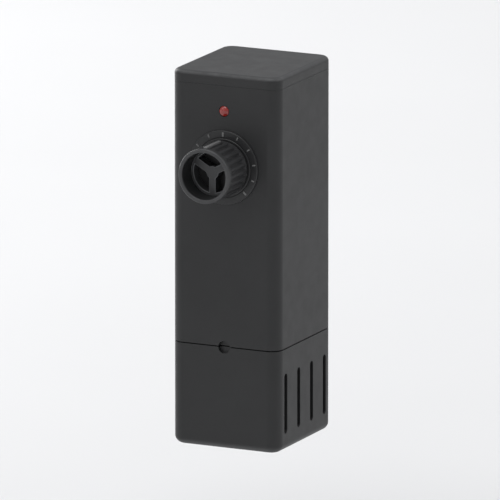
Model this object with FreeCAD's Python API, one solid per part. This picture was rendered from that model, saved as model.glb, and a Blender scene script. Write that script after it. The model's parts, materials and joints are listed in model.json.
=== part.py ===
import FreeCAD, Part
import math
import os

from FreeCAD import Vector

# A compact submersible aquarium heater in a rounded box housing.
# X runs across the front face, Y runs from the front to the glass, Z is up.
# The origin lies on the glass, midway between the two suction cups.
# Lengths are millimetres. "Height" always means height above the unit's lower face.

# ---------------------------------------------------------------- driving dimensions
body_w = 27.4           # across the front face
body_d = 30.0           # front face to rear face
body_h = 89.0           # lower face to top face
edge_r = 3.0            # upright edges
foot_r = 1.9            # rounded rim round the lower face
crown_r = 1.1           # rounded rim round the top face
wall = 1.8
standoff = 9.0          # rear face to the glass
mount_h = 39.0          # height of the origin
cup_spacing = 42.0      # between the two suction cups

seam_h = 24.3           # where the lower guard meets the housing
seam_gap = 0.25
cover_h = 86.2          # where the top cover meets the housing
slide_gap = 0.3         # guard's spigot to the housing's inside

slot_w = 1.6            # water slots in the guard's side walls
slot_low = 4.2
slot_high = 18.5
slot_count = 4
slot_pitch = 7.0

dial_h = 67.0           # height of the dial's axis
dial_r = 6.5
dial_reach = 11.0       # how far the dial stands out of the front face
dial_recess = 4.75      # from the dial's rim to the face of its three arms
pocket_depth = 2.75     # from that face to the bottom of the pockets
dial_rim = 1.0          # thickness of the dial's rim
dial_flutes = 24
scale_marks = 11
dial_sweep = 270.0      # degrees, end to end

shaft_r = 2.0
running_gap = 0.05      # shaft in bushing, screw in shaft

tube_r = 6.8            # glass heating tube
tube_wall = 0.9
tube_low = 6.8
flange_r = 8.2

coil_r = 3.55           # heating coil, to the middle of its wire
coil_wire_r = 0.3
coil_low = 14.0
coil_high = 42.0
coil_turns = 12.5

lead_r = 0.45           # insulated hook-up wire
lead_bend = 0.9

cord_r = 2.6            # cord that the rear inlet takes
cup_r = 7.5             # small cups, so that they stay behind the housing
cup_lip = 1.2           # width of the flat ring that seals on the glass

# ---------------------------------------------------------------- derived planes
rear_y = -standoff
front_y = rear_y - body_d
mid_y = (front_y + rear_y) / 2
inner_w = body_w - 2 * wall
inner_d = body_d - 2 * wall
inner_r = edge_r - wall
front_in_y = front_y + wall
rear_in_y = rear_y - wall

shelf_h = 50.5          # bulkhead's lower face
deck_h = 53.5           # bulkhead's upper face
flange_h = deck_h + 0.8
clamp_h = flange_h + 1.2
frame_h = clamp_h + 1.5
stack_h = frame_h + 1.0
pivot_h = stack_h + 3.7
contact_h = 75.5
lamp_h = 80.2

dial_front_y = front_y - dial_reach
dial_arms_y = dial_front_y + dial_recess
dial_floor_y = dial_arms_y + pocket_depth
dial_back_y = front_y - 0.9
shaft_end_y = front_y + 7.4
blade_y = front_y + 15.2        # front face of the bimetal blade
plate_y = front_y + 9.4         # thermostat frame's front plate
strip_y = front_y + 12.8        # contact strip
frame_back_y = front_y + 20.5

gland_y = rear_y + 4.1
bracket_low_y = rear_y + 4.1    # bracket plate's face towards the unit
bracket_high_y = rear_y + 5.6   # bracket plate's face towards the glass


# ---------------------------------------------------------------- helpers
def up(height):
    """Z of a height above the unit's lower face."""
    return height - mount_h


def bar(x0, x1, y0, y1, low, high):
    return Part.makeBox(x1 - x0, y1 - y0, high - low, Vector(x0, y0, up(low)))


def round_uprights(shape, radius):
    uprights = [e for e in shape.Edges if abs(e.tangentAt(e.FirstParameter).z) > 0.99]
    return shape.makeFillet(radius, uprights)


def round_rim(shape, radius, height):
    """Rounds every edge that lies in the level plane at that height."""
    level = [e for e in shape.Edges if all(abs(v.Z - up(height)) < 1e-4 for v in e.Vertexes)]
    return shape.makeFillet(radius, level)


def block(width, depth, low, high, radius):
    """Upright block on the housing's axis, with rounded upright edges."""
    box = bar(-width / 2, width / 2, mid_y - depth / 2, mid_y + depth / 2, low, high)
    return round_uprights(box, radius)


def band(width, depth, radius, thickness, low, high):
    """Upright closed band: a block less the block inside it."""
    outer = block(width, depth, low, high, radius)
    inner_radius = max(radius - thickness, 0.3)
    return outer.cut(block(width - 2 * thickness, depth - 2 * thickness, low - 1, high + 1, inner_radius))


def edge_groove(depth, low, high):
    """Ring-shaped cutter round the inside of the housing, reaching that far inwards."""
    outer = block(inner_w + 1, inner_d + 1, low, high, inner_r)
    return outer.cut(block(inner_w - 2 * depth, inner_d - 2 * depth, low - 1, high + 1, inner_r - depth))


def rod_y(radius, y0, y1, x=0.0, height=dial_h):
    return Part.makeCylinder(radius, y1 - y0, Vector(x, y0, up(height)), Vector(0, 1, 0))


def rod_z(radius, low, high, x=0.0, y=mid_y):
    return Part.makeCylinder(radius, high - low, Vector(x, y, up(low)), Vector(0, 0, 1))


def ring_y(outer, inner, y0, y1, height=dial_h):
    return rod_y(outer, y0, y1, height=height).cut(rod_y(inner, y0 - 1, y1 + 1, height=height))


def ring_z(outer, inner, low, high, x=0.0, y=mid_y):
    return rod_z(outer, low, high, x, y).cut(rod_z(inner, low - 1, high + 1, x, y))


def slot_through_x(y, low, high, width, x0, x1):
    """Upright round-ended slot cut along X."""
    radius = width / 2
    tool = bar(x0, x1, y - radius, y + radius, low + radius, high - radius)
    for height in (low + radius, high - radius):
        end = Part.makeCylinder(radius, x1 - x0, Vector(x0, y, up(height)), Vector(1, 0, 0))
        tool = tool.fuse(end)
    return tool


def slot_through_y(x, low, high, width, y0, y1):
    """Upright round-ended slot cut along Y."""
    radius = width / 2
    tool = bar(x - radius, x + radius, y0, y1, low + radius, high - radius)
    for height in (low + radius, high - radius):
        tool = tool.fuse(rod_y(radius, y0, y1, x, height))
    return tool


def slot_through_z(x, y0, y1, width, low, high):
    """Round-ended slot along Y, cut through a floor."""
    radius = width / 2
    tool = bar(x - radius, x + radius, y0 + radius, y1 - radius, low, high)
    for y in (y0 + radius, y1 - radius):
        tool = tool.fuse(rod_z(radius, low, high, x, y))
    return tool


def screw_z(x, y, head_low, head_r, head_t, shank_r, shank_len):
    """Upright pan-head screw with a cross recess."""
    head = rod_z(head_r, head_low, head_low + head_t, x, y)
    head = head.makeFillet(head_t * 0.4, [head.Edges[0]])
    recess = 0.55 * head_t
    arm = 0.7 * head_r
    blade = 0.16 * head_r
    top = head_low + head_t
    cross = bar(x - arm, x + arm, y - blade, y + blade, top - recess, top + 1)
    cross = cross.fuse(bar(x - blade, x + blade, y - arm, y + arm, top - recess, top + 1))
    return head.fuse(rod_z(shank_r, head_low - shank_len, head_low, x, y)).cut(cross)


def screw_y(x, height, head_y, head_r, head_t, shank_r, shank_len):
    """Slotted screw along Y, with its head towards the front."""
    head = rod_y(head_r, head_y, head_y + head_t, x, height)
    shank = rod_y(shank_r, head_y + head_t, head_y + head_t + shank_len, x, height)
    blade = 0.16 * head_r
    groove = bar(x - head_r, x + head_r, head_y - 1, head_y + 0.5 * head_t, height - blade, height + blade)
    return head.fuse(shank).cut(groove)


def bent_wire(points, radius=lead_r, bend=lead_bend):
    """Round wire along straight runs joined by tangent arcs. Points are (x, y, height)."""
    route = [Vector(x, y, up(height)) for x, y, height in points]
    edges = []
    start = route[0]
    for before, corner, after in zip(route, route[1:], route[2:]):
        inward = (before - corner).normalize()
        outward = (after - corner).normalize()
        half_turn = (math.pi - inward.getAngle(outward)) / 2
        reach = bend * math.tan(half_turn)
        enter = corner + inward * reach
        leave = corner + outward * reach
        to_centre = (inward + outward).normalize()
        middle = corner + to_centre * (bend / math.cos(half_turn) - bend)
        edges.append(Part.makeLine(start, enter))
        edges.append(Part.Arc(enter, middle, leave).toShape())
        start = leave
    edges.append(Part.makeLine(start, route[-1]))
    spine = Part.Wire(edges)
    heading = (route[1] - route[0]).normalize()
    section = Part.Wire([Part.makeCircle(radius, route[0], heading)])
    return spine.makePipeShell([section], True, False)


def spun(profile, height):
    """Solid of revolution about the Y axis line at that height. Profile is (radius, y)."""
    points = [Vector(r, y, up(height)) for r, y in profile]
    face = Part.Face(Part.makePolygon(points + [points[0]]))
    return face.revolve(Vector(0, 0, up(height)), Vector(0, 1, 0), 360)


# ---------------------------------------------------------------- housing and covers
rib_low = 34.0
rib_high = 44.0
outlet_xs = (-8.0, -5.0, 5.0, 8.0)
floor_slot_xs = (-7.0, 0.0, 7.0)
notch_r = 1.5
notch_depth = 0.9
lens_r = 1.3
bushing_r = 3.2


def thumb_notch():
    """Shallow round dimple across the seam, for a thumbnail."""
    return rod_y(notch_r, front_y - 1, front_y + notch_depth, height=seam_h)


def housing():
    shell = band(body_w, body_d, edge_r, wall, seam_h + seam_gap, cover_h)
    shell = shell.fuse(band(inner_w + 0.4, inner_d + 0.4, inner_r + 0.2, 1.5, 49.0, shelf_h))
    shell = shell.cut(rod_z(probe_seal_r + 0.4, 48.0, shelf_h, 0, probe_y))
    shell = shell.cut(thumb_notch())
    shell = shell.cut(rod_y(bushing_r, front_y - 1, front_in_y + 1))
    shell = shell.cut(rod_y(lens_r, front_y - 1, front_in_y + 1, height=lamp_h))
    for x in outlet_xs:
        shell = shell.cut(slot_through_y(x, 36.0, 47.5, 1.8, rear_in_y - 1, rear_y + 1))
    shell = shell.fuse(hanger_rib())
    return shell.fuse(cord_turret()).cut(cord_passage()).removeSplitter()


def hanger_rib():
    """T-shaped rib that hooks into the wall bracket."""
    stem = bar(-3.0, 3.0, rear_y - 0.5, rear_y + 2.4, rib_low, rib_high)
    head = bar(-5.0, 5.0, rear_y + 2.4, rear_y + 3.8, rib_low, rib_high)
    return stem.fuse(head)


def cord_turret():
    """Boss on the rear face that holds the cord's rubber inlet, pointing up."""
    barrel = rod_z(4.4, 73.0, 85.5, 0, gland_y)
    web = bar(-4.4, 4.4, rear_y - 0.5, gland_y, 73.0, 85.5)
    return round_rim(barrel.fuse(web).removeSplitter(), 0.8, 73.0)


def cord_passage():
    bore = rod_z(3.4, 77.0, 86.5, 0, gland_y)
    well = rod_z(cord_r, 74.4, 77.0, 0, gland_y)
    window = bar(-cord_r, cord_r, rear_in_y - 1, gland_y, 74.4, 77.0)
    return bore.fuse(well).fuse(window)


def lower_guard():
    shell = block(body_w, body_d, 0, seam_h, edge_r)
    shell = round_rim(shell, foot_r, 0)
    shell = shell.cut(block(inner_w, inner_d, 2.0, 20.5, inner_r))
    spigot_w = inner_w - 2 * slide_gap
    spigot_d = inner_d - 2 * slide_gap
    spigot_r = inner_r - slide_gap
    spigot_t = 0.9
    hollow_r = max(spigot_r - spigot_t, 0.3)
    hollow = block(spigot_w - 2 * spigot_t, spigot_d - 2 * spigot_t, 20.0, 30.0, hollow_r)
    shell = shell.fuse(block(spigot_w, spigot_d, seam_h - 1, 29.0, spigot_r)).cut(hollow)
    first = mid_y - slot_pitch * (slot_count - 1) / 2
    for i in range(slot_count):
        y = first + i * slot_pitch
        shell = shell.cut(slot_through_x(y, slot_low, slot_high, slot_w, -body_w, body_w))
    for x in floor_slot_xs:
        shell = shell.cut(slot_through_z(x, mid_y - 9.0, mid_y + 9.0, slot_w, -1, 3))
    shell = shell.cut(thumb_notch())
    spigot_y = front_in_y + slide_gap
    for x in (-4.0, 4.0):
        slit = bar(x - 0.4, x + 0.4, spigot_y - 1, spigot_y + 2, seam_h + 0.6, 30.0)
        shell = shell.cut(slit)
    snap = rod_y(0.7, spigot_y - 0.2, spigot_y + 0.4, height=27.3)
    return shell.fuse(snap).removeSplitter()


cover_spigot_w = inner_w - 0.2
cover_spigot_d = inner_d - 0.2
gasket_t = 0.9


def top_cover():
    lid = round_rim(block(body_w, body_d, cover_h, body_h, edge_r), crown_r, body_h)
    lid = lid.fuse(band(cover_spigot_w, cover_spigot_d, inner_r, 2.0, 82.2, cover_h))
    return lid.cut(edge_groove(gasket_t, 83.6, 85.0)).removeSplitter()


def top_gasket():
    return band(inner_w, inner_d, inner_r, gasket_t, 83.6, 85.0)


# ---------------------------------------------------------------- bulkhead and heating tube
pillar_x = 9.5
pillar_dy = 10.7
clamp_shank_r = 0.9
seal_t = 0.6
probe_y = mid_y - 10.5
probe_r = 1.3
probe_seal_r = 1.9


def pillars():
    return [(x, mid_y + dy) for x in (-pillar_x, pillar_x) for dy in (-pillar_dy, pillar_dy)]


def bulkhead():
    plate = block(inner_w - 0.2, inner_d - 0.2, shelf_h, deck_h, inner_r)
    for x, y in pillars():
        plate = plate.fuse(rod_z(1.7, deck_h - 0.5, clamp_h, x, y))
    for x, y in pillars():
        plate = plate.cut(rod_z(clamp_shank_r, shelf_h + 0.9, clamp_h + 1, x, y))
    plate = plate.cut(rod_z(tube_r + 0.2, shelf_h - 1, deck_h + 1))
    plate = plate.cut(rod_z(probe_seal_r, shelf_h - 1, deck_h + 1, 0, probe_y))
    return plate.cut(edge_groove(seal_t, 51.4, 52.6)).removeSplitter()


def bulkhead_seal():
    return band(inner_w, inner_d, inner_r, seal_t, 51.4, 52.6)


def round_ended(radius, low, high):
    """Upright rod with a half-round lower end."""
    ball = Part.makeSphere(radius, Vector(0, mid_y, up(low + radius)))
    return ball.fuse(rod_z(radius, low + radius, high))


def heater_tube():
    glass = round_ended(tube_r, tube_low, flange_h + 0.2)
    glass = glass.fuse(rod_z(flange_r, flange_h, clamp_h))
    return glass.cut(round_ended(tube_r - tube_wall, tube_low + tube_wall, clamp_h + 1)).removeSplitter()


def tube_end_cap():
    cap = rod_z(7.5, 5.2, 12.0)
    cap = cap.makeFillet(0.9, [e for e in cap.Edges if len(e.Vertexes) == 1])
    return cap.cut(round_ended(tube_r, tube_low, 14.0))


def tube_gasket():
    return ring_z(flange_r, tube_r + 0.05, deck_h, flange_h)


def tube_clamp_plate():
    plate = block(22.8, 25.2, clamp_h, frame_h, 2.5)
    plate = plate.cut(rod_z(5.2, clamp_h - 1, frame_h + 1))
    plate = plate.cut(rod_z(probe_r + 0.2, clamp_h - 1, frame_h + 1, 0, probe_y))
    for x, y in pillars():
        plate = plate.cut(rod_z(clamp_shank_r, clamp_h - 1, frame_h + 1, x, y))
    for x in frame_screw_xs:
        plate = plate.cut(rod_z(0.8, clamp_h - 1, frame_h + 1, x))
    return plate


def clamp_screws():
    return [screw_z(x, y, frame_h, 1.6, 1.1, clamp_shank_r, 5.0) for x, y in pillars()]


def tube_plug():
    plug = rod_z(tube_r - tube_wall, 47.0, clamp_h)
    for x in (-coil_r, coil_r):
        plug = plug.cut(rod_z(lead_r, 46.0, clamp_h + 1, x))
    return plug


def ceramic_core():
    core_r = coil_r - coil_wire_r - 0.02
    core = rod_z(core_r, coil_low - coil_wire_r, coil_high + coil_wire_r)
    for i in range(6):
        angle = math.radians(60 * i + 30)
        groove_x = (core_r + 0.2) * math.cos(angle)
        groove_y = (core_r + 0.2) * math.sin(angle)
        core = core.cut(rod_z(0.7, 11.0, 43.0, groove_x, mid_y + groove_y))
    return core.cut(rod_z(0.9, 11.0, 43.0))


def heating_coil():
    height = coil_high - coil_low
    helix = Part.makeHelix(height / coil_turns, height, coil_r)
    section = Part.Wire([Part.makeCircle(coil_wire_r, Vector(coil_r, 0, 0), Vector(0, 1, 0))])
    coil = Part.Wire(helix.Edges).makePipeShell([section], True, True)
    coil.translate(Vector(0, mid_y, up(coil_low)))
    return coil


def probe_pocket():
    pocket = rod_z(probe_r, 38.0, 60.0, 0, probe_y)
    pocket = pocket.makeFillet(0.9, [e for e in pocket.Edges if all(v.Z < up(39) for v in e.Vertexes)])
    return pocket.cut(rod_z(probe_r - 0.4, 40.0, 61.0, 0, probe_y))


def probe_seal():
    seal = ring_z(probe_seal_r, probe_r, shelf_h - 0.8, deck_h + 0.6, 0, probe_y)
    lip = ring_z(probe_seal_r + 0.15, probe_r, shelf_h - 0.8, shelf_h, 0, probe_y)
    return seal.fuse(lip).removeSplitter()


# ---------------------------------------------------------------- thermostat
frame_half_w = 5.5
stack_half_w = 2.9
strip_half_w = 2.8
strip_t = 0.4
rivet_h = stack_h + 1.8
lug_low = rivet_h - 0.7
lug_high = rivet_h + 0.7
frame_screw_xs = (-7.9, 7.9)
key_half = 2.0


def thermostat_frame():
    base = bar(-frame_half_w, frame_half_w, plate_y, frame_back_y, frame_h, stack_h)
    base = base.fuse(bar(-9.8, 9.8, mid_y - 2, mid_y + 2, frame_h, stack_h))
    front = bar(-frame_half_w, frame_half_w, plate_y, plate_y + 1, frame_h, 82.0)
    back = bar(-frame_half_w, frame_half_w, frame_back_y - 1, frame_back_y, frame_h, 80.0)
    frame = base.fuse(front).fuse(back)
    hole = key_half + 0.1
    frame = frame.cut(bar(-hole, hole, plate_y - 1, plate_y + 2, dial_h - hole, dial_h + hole))
    for x in (-coil_r, coil_r):
        frame = frame.cut(rod_z(1.0, frame_h - 1, stack_h + 0.5, x))
    for x in frame_screw_xs:
        frame = frame.cut(rod_z(0.8, frame_h - 1, stack_h + 1, x))
    frame = frame.cut(rod_y(0.8, plate_y - 1, frame_back_y + 1, height=rivet_h))
    return frame.removeSplitter()


def frame_screws():
    return [screw_z(x, mid_y, stack_h, 1.5, 1.1, 0.8, 2.3) for x in frame_screw_xs]


def stack_spacers():
    """Three insulating blocks of the clamped stack, front to rear."""
    spans = [
        (plate_y + 1, strip_y),
        (strip_y + strip_t, blade_y),
        (blade_y + 2 * strip_t, frame_back_y - 1),
    ]
    hole = rod_y(0.8, plate_y, frame_back_y, height=rivet_h)
    return [bar(-stack_half_w, stack_half_w, y0, y1, stack_h, pivot_h - 0.2).cut(hole) for y0, y1 in spans]


def stack_rivet():
    pin = rod_y(0.8, plate_y, frame_back_y, height=rivet_h)
    for y0 in (plate_y - 0.7, frame_back_y):
        pin = pin.fuse(rod_y(1.5, y0, y0 + 0.7, height=rivet_h))
    return pin.removeSplitter()


def blade_foot():
    """Fixed end of the bimetal blade, with a solder lug to the left."""
    foot = bar(-strip_half_w, strip_half_w, blade_y, blade_y + 2 * strip_t, stack_h, pivot_h - 0.1)
    lug = bar(-5.2, -strip_half_w, blade_y + strip_t, blade_y + 2 * strip_t, lug_low, lug_high)
    return foot.fuse(lug).cut(rod_y(0.8, plate_y, frame_back_y, height=rivet_h)).removeSplitter()


def bimetal_blade():
    blade = bar(-strip_half_w, strip_half_w, blade_y, blade_y + strip_t, pivot_h, 81.0)
    slit = bar(-0.5, 0.5, blade_y - 1, blade_y + 1, pivot_h + 7.0, contact_h - 2.5)
    return blade.cut(slit)


def moving_contact():
    return rod_y(1.3, blade_y - 0.8, blade_y, height=contact_h)


def contact_strip():
    """Fixed brass strip, with a solder lug to the right."""
    strip = bar(-strip_half_w, strip_half_w, strip_y, strip_y + strip_t, stack_h, 77.6)
    lug = bar(strip_half_w, 5.2, strip_y, strip_y + strip_t, lug_low, lug_high)
    strip = strip.fuse(lug).cut(rod_y(0.8, plate_y, frame_back_y, height=rivet_h))
    return strip.cut(rod_y(1.3, strip_y - 1, strip_y + 1)).removeSplitter()


def fixed_contact():
    return rod_y(1.3, strip_y + strip_t, blade_y - 1.1, height=contact_h)


def snap_magnet():
    return bar(-1.8, 1.8, plate_y + 1, blade_y - 0.6, 78.3, 81.0)


def adjuster_pin():
    """Screw in the dial's shaft, key block in the frame, tip towards the blade."""
    thread = rod_y(shaft_r - 0.8 - running_gap, shaft_end_y - 3.2, shaft_end_y + 0.6)
    key = bar(-key_half, key_half, shaft_end_y + 0.6, plate_y + 1.7, dial_h - key_half, dial_h + key_half)
    tip = rod_y(0.8, plate_y + 1.7, blade_y - 0.6)
    return thread.fuse(key).fuse(tip).removeSplitter()


# ---------------------------------------------------------------- dial and its bearing
bushing_end_y = front_y + 5.6
oring_y = front_y + 2.0
nut_y = front_in_y + 0.6
pointer_half = 0.45


def dial_knob():
    knob = rod_y(dial_r, dial_front_y, dial_back_y)
    knob = knob.cut(rod_y(dial_r - dial_rim, dial_front_y - 1, dial_floor_y))
    rim = [e for e in knob.Edges if len(e.Vertexes) == 1 and abs(e.Vertexes[0].Y - dial_front_y) < 1e-4]
    knob = knob.makeFillet(0.38, rim)
    for i in range(dial_flutes):
        angle = math.radians((i + 0.5) * 360.0 / dial_flutes)
        x = (dial_r + 0.25) * math.cos(angle)
        height = dial_h + (dial_r + 0.25) * math.sin(angle)
        knob = knob.cut(rod_y(0.5, dial_front_y + 1.6, dial_back_y - 0.8, x, height))
    knob = knob.cut(rod_y(shaft_r, dial_floor_y - 1, dial_back_y + 1))
    return knob.cut(pointer_blank()).removeSplitter()


def pointer_blank():
    low = dial_h + dial_r - 0.5
    return bar(-pointer_half, pointer_half, dial_front_y + 0.9, dial_back_y - 1.5, low, low + 0.8)


def dial_pointer():
    return pointer_blank()


def dial_insert():
    """Disc with three arms between three deep pockets."""
    disc = rod_y(dial_r - dial_rim - 0.05, dial_arms_y, dial_floor_y)
    pockets = ring_y(4.75, 1.55, dial_arms_y - 1, dial_floor_y + 1)
    for i in range(3):
        arm = bar(-0.85, 0.85, dial_arms_y - 2, dial_floor_y + 2, dial_h, dial_h + dial_r)
        arm.rotate(Vector(0, 0, up(dial_h)), Vector(0, 1, 0), 60 + 120 * i)
        pockets = pockets.cut(arm)
    return disc.cut(pockets)


def dial_shaft():
    shaft = rod_y(shaft_r, dial_floor_y, shaft_end_y)
    shaft = shaft.cut(rod_y(shaft_r - 0.8, shaft_end_y - 4.4, shaft_end_y + 1))
    shaft = shaft.cut(ring_y(shaft_r + 1, 1.55, oring_y - 0.4, oring_y + 0.4))
    return shaft.cut(ring_y(shaft_r + 1, 1.65, bushing_end_y + 0.3, bushing_end_y + 0.8))


def shaft_oring():
    return Part.makeTorus(1.95, 0.35, Vector(0, oring_y, up(dial_h)), Vector(0, 1, 0))


def shaft_circlip():
    clip = ring_y(3.2, 1.65, bushing_end_y + 0.3, bushing_end_y + 0.8)
    mouth = bar(-1.2, 1.2, bushing_end_y - 1, bushing_end_y + 2, dial_h - 4, dial_h)
    return clip.cut(mouth)


def shaft_bushing():
    barrel = rod_y(bushing_r, front_y - 0.5, bushing_end_y)
    barrel = barrel.fuse(rod_y(4.6, front_y - 0.5, front_y))
    barrel = barrel.cut(rod_y(shaft_r + running_gap, front_y - 1, bushing_end_y + 1))
    return barrel.cut(rod_y(2.4, oring_y - 0.5, oring_y + 0.5)).removeSplitter()


def bushing_gasket():
    return ring_y(4.6, bushing_r, front_in_y, nut_y)


def bushing_nut():
    corner = 4.7 / math.cos(math.radians(30))
    points = []
    for i in range(7):
        angle = math.radians(60 * i)
        points.append(Vector(corner * math.cos(angle), nut_y, up(dial_h) + corner * math.sin(angle)))
    nut = Part.Face(Part.makePolygon(points)).extrude(Vector(0, 2.2, 0))
    return nut.cut(rod_y(bushing_r, nut_y - 1, nut_y + 4))


def scale_ring():
    ring = ring_y(8.8, 4.65, front_y - 0.5, front_y)
    step = dial_sweep / (scale_marks - 1)
    for i in range(scale_marks):
        major = i % 5 == 0
        inner = 6.9 if major else 7.3
        half = 0.26 if major else 0.17
        mark = bar(-half, half, front_y - 0.65, front_y - 0.4, dial_h + inner, dial_h + 8.45)
        mark.rotate(Vector(0, 0, up(dial_h)), Vector(0, 1, 0), i * step - dial_sweep / 2)
        ring = ring.fuse(mark)
    return ring.removeSplitter()


# ---------------------------------------------------------------- pilot lamp
def pilot_lens():
    lens = rod_y(lens_r, front_y - 0.3, front_in_y, height=lamp_h)
    lens = lens.makeFillet(0.5, [e for e in lens.Edges if all(v.Y < front_y for v in e.Vertexes)])
    return lens.fuse(rod_y(1.9, front_in_y, front_in_y + 0.6, height=lamp_h)).removeSplitter()


def pilot_lamp():
    lamp = rod_y(1.4, front_in_y + 1.0, front_in_y + 4.0, height=lamp_h)
    lamp = lamp.makeFillet(0.8, [e for e in lamp.Edges if all(v.Y < front_in_y + 1.5 for v in e.Vertexes)])
    return lamp


def lamp_board():
    board = bar(-4.0, 4.0, front_in_y + 4.0, front_in_y + 4.8, 77.2, 82.0)
    chip = bar(1.8, 3.4, front_in_y + 4.8, front_in_y + 5.4, 78.0, 79.0)
    return board.fuse(chip)


# ---------------------------------------------------------------- wiring
block_back_y = rear_in_y - 0.8
block_front_y = block_back_y - 5.5
block_y = (block_back_y + block_front_y) / 2
block_xs = (5.4, 8.9)
terminal_h = 67.2
block_low = 62.5
block_high = 72.0
fuse_x = -8.6
fuse_low = 63.0
fuse_high = 71.0
hop_h = 61.7            # level at which the coil's leads cross to the sides
lug_wire_h = rivet_h


def terminal_block():
    body = bar(3.2, 11.0, block_front_y, block_back_y, block_low, block_high)
    for x in block_xs:
        body = body.cut(rod_y(1.45, block_front_y - 1, block_front_y + 1, x, terminal_h))
        body = body.cut(rod_y(0.7, block_front_y, block_front_y + 4, x, terminal_h))
        body = body.cut(rod_z(0.9, block_high - 2.0, block_high + 1, x, block_y))
    return body


def terminal_screws():
    return [screw_y(x, terminal_h, block_front_y - 0.1, 1.4, 1.1, 0.7, 2.8) for x in block_xs]


def suppression_capacitor():
    can = bar(-11.0, -4.6, rear_in_y - 5.4, rear_in_y - 0.4, 62.5, 73.0)
    return can.makeFillet(0.8, can.Edges)


def thermal_fuse():
    can = rod_z(1.4, fuse_low, fuse_high, fuse_x)
    return can.makeFillet(0.4, [e for e in can.Edges if len(e.Vertexes) == 1])


def coil_lead():
    return bent_wire([
        (-coil_r, mid_y, coil_high + coil_wire_r),
        (-coil_r, mid_y, hop_h),
        (fuse_x, mid_y, hop_h),
        (fuse_x, mid_y, fuse_low),
    ])


def neutral_wire():
    return bent_wire([
        (coil_r, mid_y, coil_low - coil_wire_r),
        (coil_r, mid_y, 10.5),
        (0, mid_y, 10.5),
        (0, mid_y, 44.8),
        (coil_r, mid_y, 44.8),
        (coil_r, mid_y, hop_h - 0.2),
        (8.9, mid_y, hop_h - 0.2),
        (8.9, block_y, hop_h - 0.2),
        (8.9, block_y, block_low),
    ], bend=0.8)


def line_wire():
    lug_y = strip_y + strip_t + lead_r
    return bent_wire([
        (6.4, block_y, block_low),
        (6.4, block_y, lug_wire_h + 0.2),
        (6.4, lug_y, lug_wire_h + 0.2),
        (4.0, lug_y, lug_wire_h + 0.2),
    ])


def fuse_wire():
    lug_y = blade_y + 2 * strip_t + lead_r
    return bent_wire([
        (fuse_x, mid_y, fuse_high),
        (fuse_x, mid_y, fuse_high + 2.2),
        (-6.6, lug_y, fuse_high + 2.2),
        (-6.6, lug_y, lug_wire_h + 0.2),
        (-3.8, lug_y, lug_wire_h + 0.2),
    ])


def cord_grommet():
    sleeve = rod_z(3.4, 77.0, 85.5, 0, gland_y).fuse(rod_z(4.0, 85.5, 86.6, 0, gland_y))
    sleeve = sleeve.makeFillet(0.4, [e for e in sleeve.Edges if all(v.Z > up(86.5) for v in e.Vertexes)])
    return sleeve.cut(rod_z(cord_r, 76.0, 88.0, 0, gland_y)).removeSplitter()


# ---------------------------------------------------------------- wall bracket and cups
hook_gap = 0.3
cup_stud_r = 2.2


def cup_heights():
    return (mount_h - cup_spacing / 2, mount_h + cup_spacing / 2)


def wall_bracket():
    plate = bar(-7.3, 7.3, bracket_low_y, bracket_high_y, 12.2, 65.8)
    ends = [e for e in plate.Edges if abs(e.tangentAt(e.FirstParameter).y) > 0.99]
    plate = plate.makeFillet(6.0, ends)
    low = rib_low - 1.6
    side_in = 5.0 + hook_gap
    lip_in = 3.0 + hook_gap
    for side in (-1, 1):
        x0, x1 = sorted((side * side_in, side * 7.3))
        plate = plate.fuse(bar(x0, x1, rear_y + 0.8, bracket_high_y, low, rib_high))
        x0, x1 = sorted((side * lip_in, side * 7.3))
        plate = plate.fuse(bar(x0, x1, rear_y + 0.8, rear_y + 2.1, low, rib_high))
    plate = plate.fuse(bar(-7.3, 7.3, rear_y + 0.8, bracket_high_y, low, rib_low - 0.1))
    for height in cup_heights():
        plate = plate.cut(rod_y(cup_stud_r, bracket_low_y - 1, bracket_high_y + 1, height=height))
    return plate.removeSplitter()


def suction_cup(height):
    profile = [
        (0.0, -1.7),
        (3.0, -1.55),
        (5.0, -0.85),
        (cup_r - cup_lip, 0.0),
        (cup_r, 0.0),
        (cup_r, -0.55),
        (6.1, -1.3),
        (4.9, -2.2),
        (4.1, bracket_high_y),
        (cup_stud_r, bracket_high_y),
        (cup_stud_r, bracket_low_y),
        (3.3, bracket_low_y),
        (3.3, bracket_low_y - 0.7),
        (2.1, bracket_low_y - 1.8),
        (0.0, bracket_low_y - 1.8),
    ]
    cup = spun(profile, height)
    tab = bar(-2.2, 2.2, -0.85, 0.0, height + cup_r - cup_lip, height + cup_r + 1.6)
    corners = [e for e in tab.Edges if abs(e.tangentAt(e.FirstParameter).y) > 0.99]
    corners = [e for e in corners if e.Vertexes[0].Z > up(height + cup_r)]
    return cup.fuse(tab.makeFillet(1.2, corners)).removeSplitter()


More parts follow.
